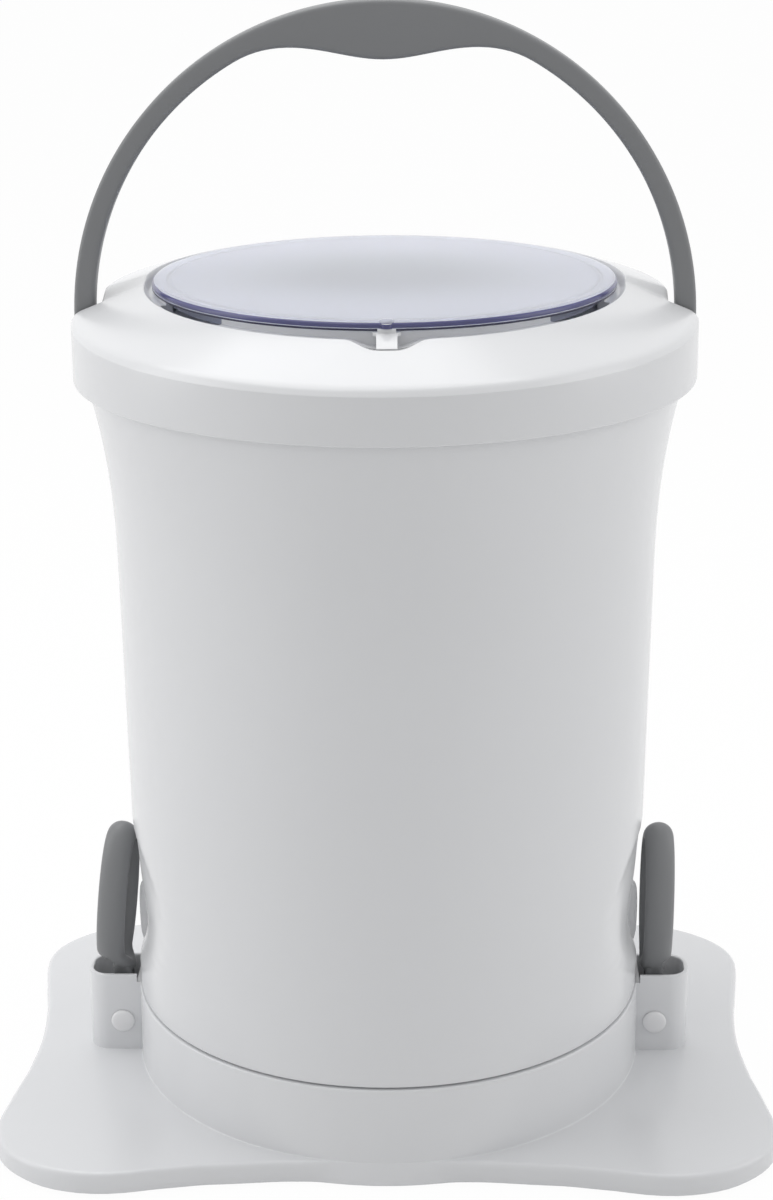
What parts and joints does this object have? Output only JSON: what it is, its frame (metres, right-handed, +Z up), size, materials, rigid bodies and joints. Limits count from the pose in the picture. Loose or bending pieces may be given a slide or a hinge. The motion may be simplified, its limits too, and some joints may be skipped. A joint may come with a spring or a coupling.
{
  "type": "manual spin dryer",
  "caption": "Hand-pumped spin dryer: a tub slides on a twisted screw in a lobed foot plate, and a nut and clutch spin a slotted basket under a clear lid.",
  "frame": {"origin": "on the floor, under the axis that the tub, the nut and the basket share", "axes": "+Z up along that axis, +X to the right latch, -Y to the front"},
  "size_m": [0.366, 0.285, 0.52],
  "materials": {
    "body": "moulded, semi-gloss",
    "grey": "moulded, satin",
    "lid": "clear, polished",
    "acetal": "moulded, satin",
    "steel": "turned",
    "rubber": "moulded, dull"
  },
  "bodies": {
    "base": {"base_plate": "body", "foot_pad_front_left": "rubber", "foot_pad_front_right": "rubber", "foot_pad_back_left": "rubber", "foot_pad_back_right": "rubber", "latch_pin_left": "acetal", "latch_pin_right": "acetal", "guide_column": "body", "column_bush": "acetal", "column_screw_1": "steel", "column_screw_2": "steel", "column_screw_3": "steel", "column_screw_4": "steel", "drive_screw": "steel", "anchor_nut": "steel", "screw_stop": "steel", "stop_nut": "steel"},
    "latch_left": {"latch_ring_left": "grey"},
    "latch_right": {"latch_ring_right": "grey"},
    "tub": {"outer_tub": "body", "top_ring": "body", "sleeve_bush": "acetal", "nut_washer": "steel", "nut_retainer": "steel", "thrust_washer": "acetal", "bearing_bush": "acetal", "handle_pin_left": "steel", "handle_pin_right": "steel"},
    "nut": {"drive_nut": "acetal"},
    "basket": {"spin_basket": "body", "basket_hub": "acetal", "clutch_crown": "acetal", "centre_cone": "body", "cone_cap": "grey", "hub_screw_1": "steel", "hub_screw_2": "steel", "hub_screw_3": "steel"},
    "lid": {"lid": "lid", "lid_clip_front": "body", "lid_clip_back": "body"},
    "handle": {"handle_bail": "grey"},
    "drain": {"drain_plug": "rubber"}
  },
  "joints": [
    {"name": "tub_lift", "type": "slide", "parent": "base", "child": "tub", "axis": [0, 0, 1], "range_m": [0, 0.08]},
    {"name": "nut_turn", "type": "hinge", "parent": "tub", "child": "nut", "pos_m": [0, 0, 0.1599], "axis": [0, 0, 1], "range_deg": [0, 320]},
    {"name": "basket_spin", "type": "hinge", "parent": "tub", "child": "basket", "pos_m": [0, 0, 0.1632], "axis": [0, 0, 1], "continuous": true},
    {"name": "lid_lift", "type": "slide", "parent": "tub", "child": "lid", "axis": [0, 0, 1], "range_m": [0, 0.05]},
    {"name": "handle_fold", "type": "hinge", "parent": "tub", "child": "handle", "pos_m": [0, 0, 0.3725], "axis": [-1, 0, 0], "range_deg": [0, 88]},
    {"name": "latch_swing_left", "type": "hinge", "parent": "base", "child": "latch_left", "pos_m": [-0.1312, 0, 0.0275], "axis": [0, -1, 0], "range_deg": [0, 20]},
    {"name": "latch_swing_right", "type": "hinge", "parent": "base", "child": "latch_right", "pos_m": [0.1312, 0, 0.0275], "axis": [0, 1, 0], "range_deg": [0, 20]},
    {"name": "drain_pull", "type": "slide", "parent": "tub", "child": "drain", "axis": [0, 1, 0], "range_m": [0, 0.02]}
  ],
  "couplings": [
    {"joint": "nut_turn", "follows": "tub_lift", "rad_per_m": 69.81}
  ]
}
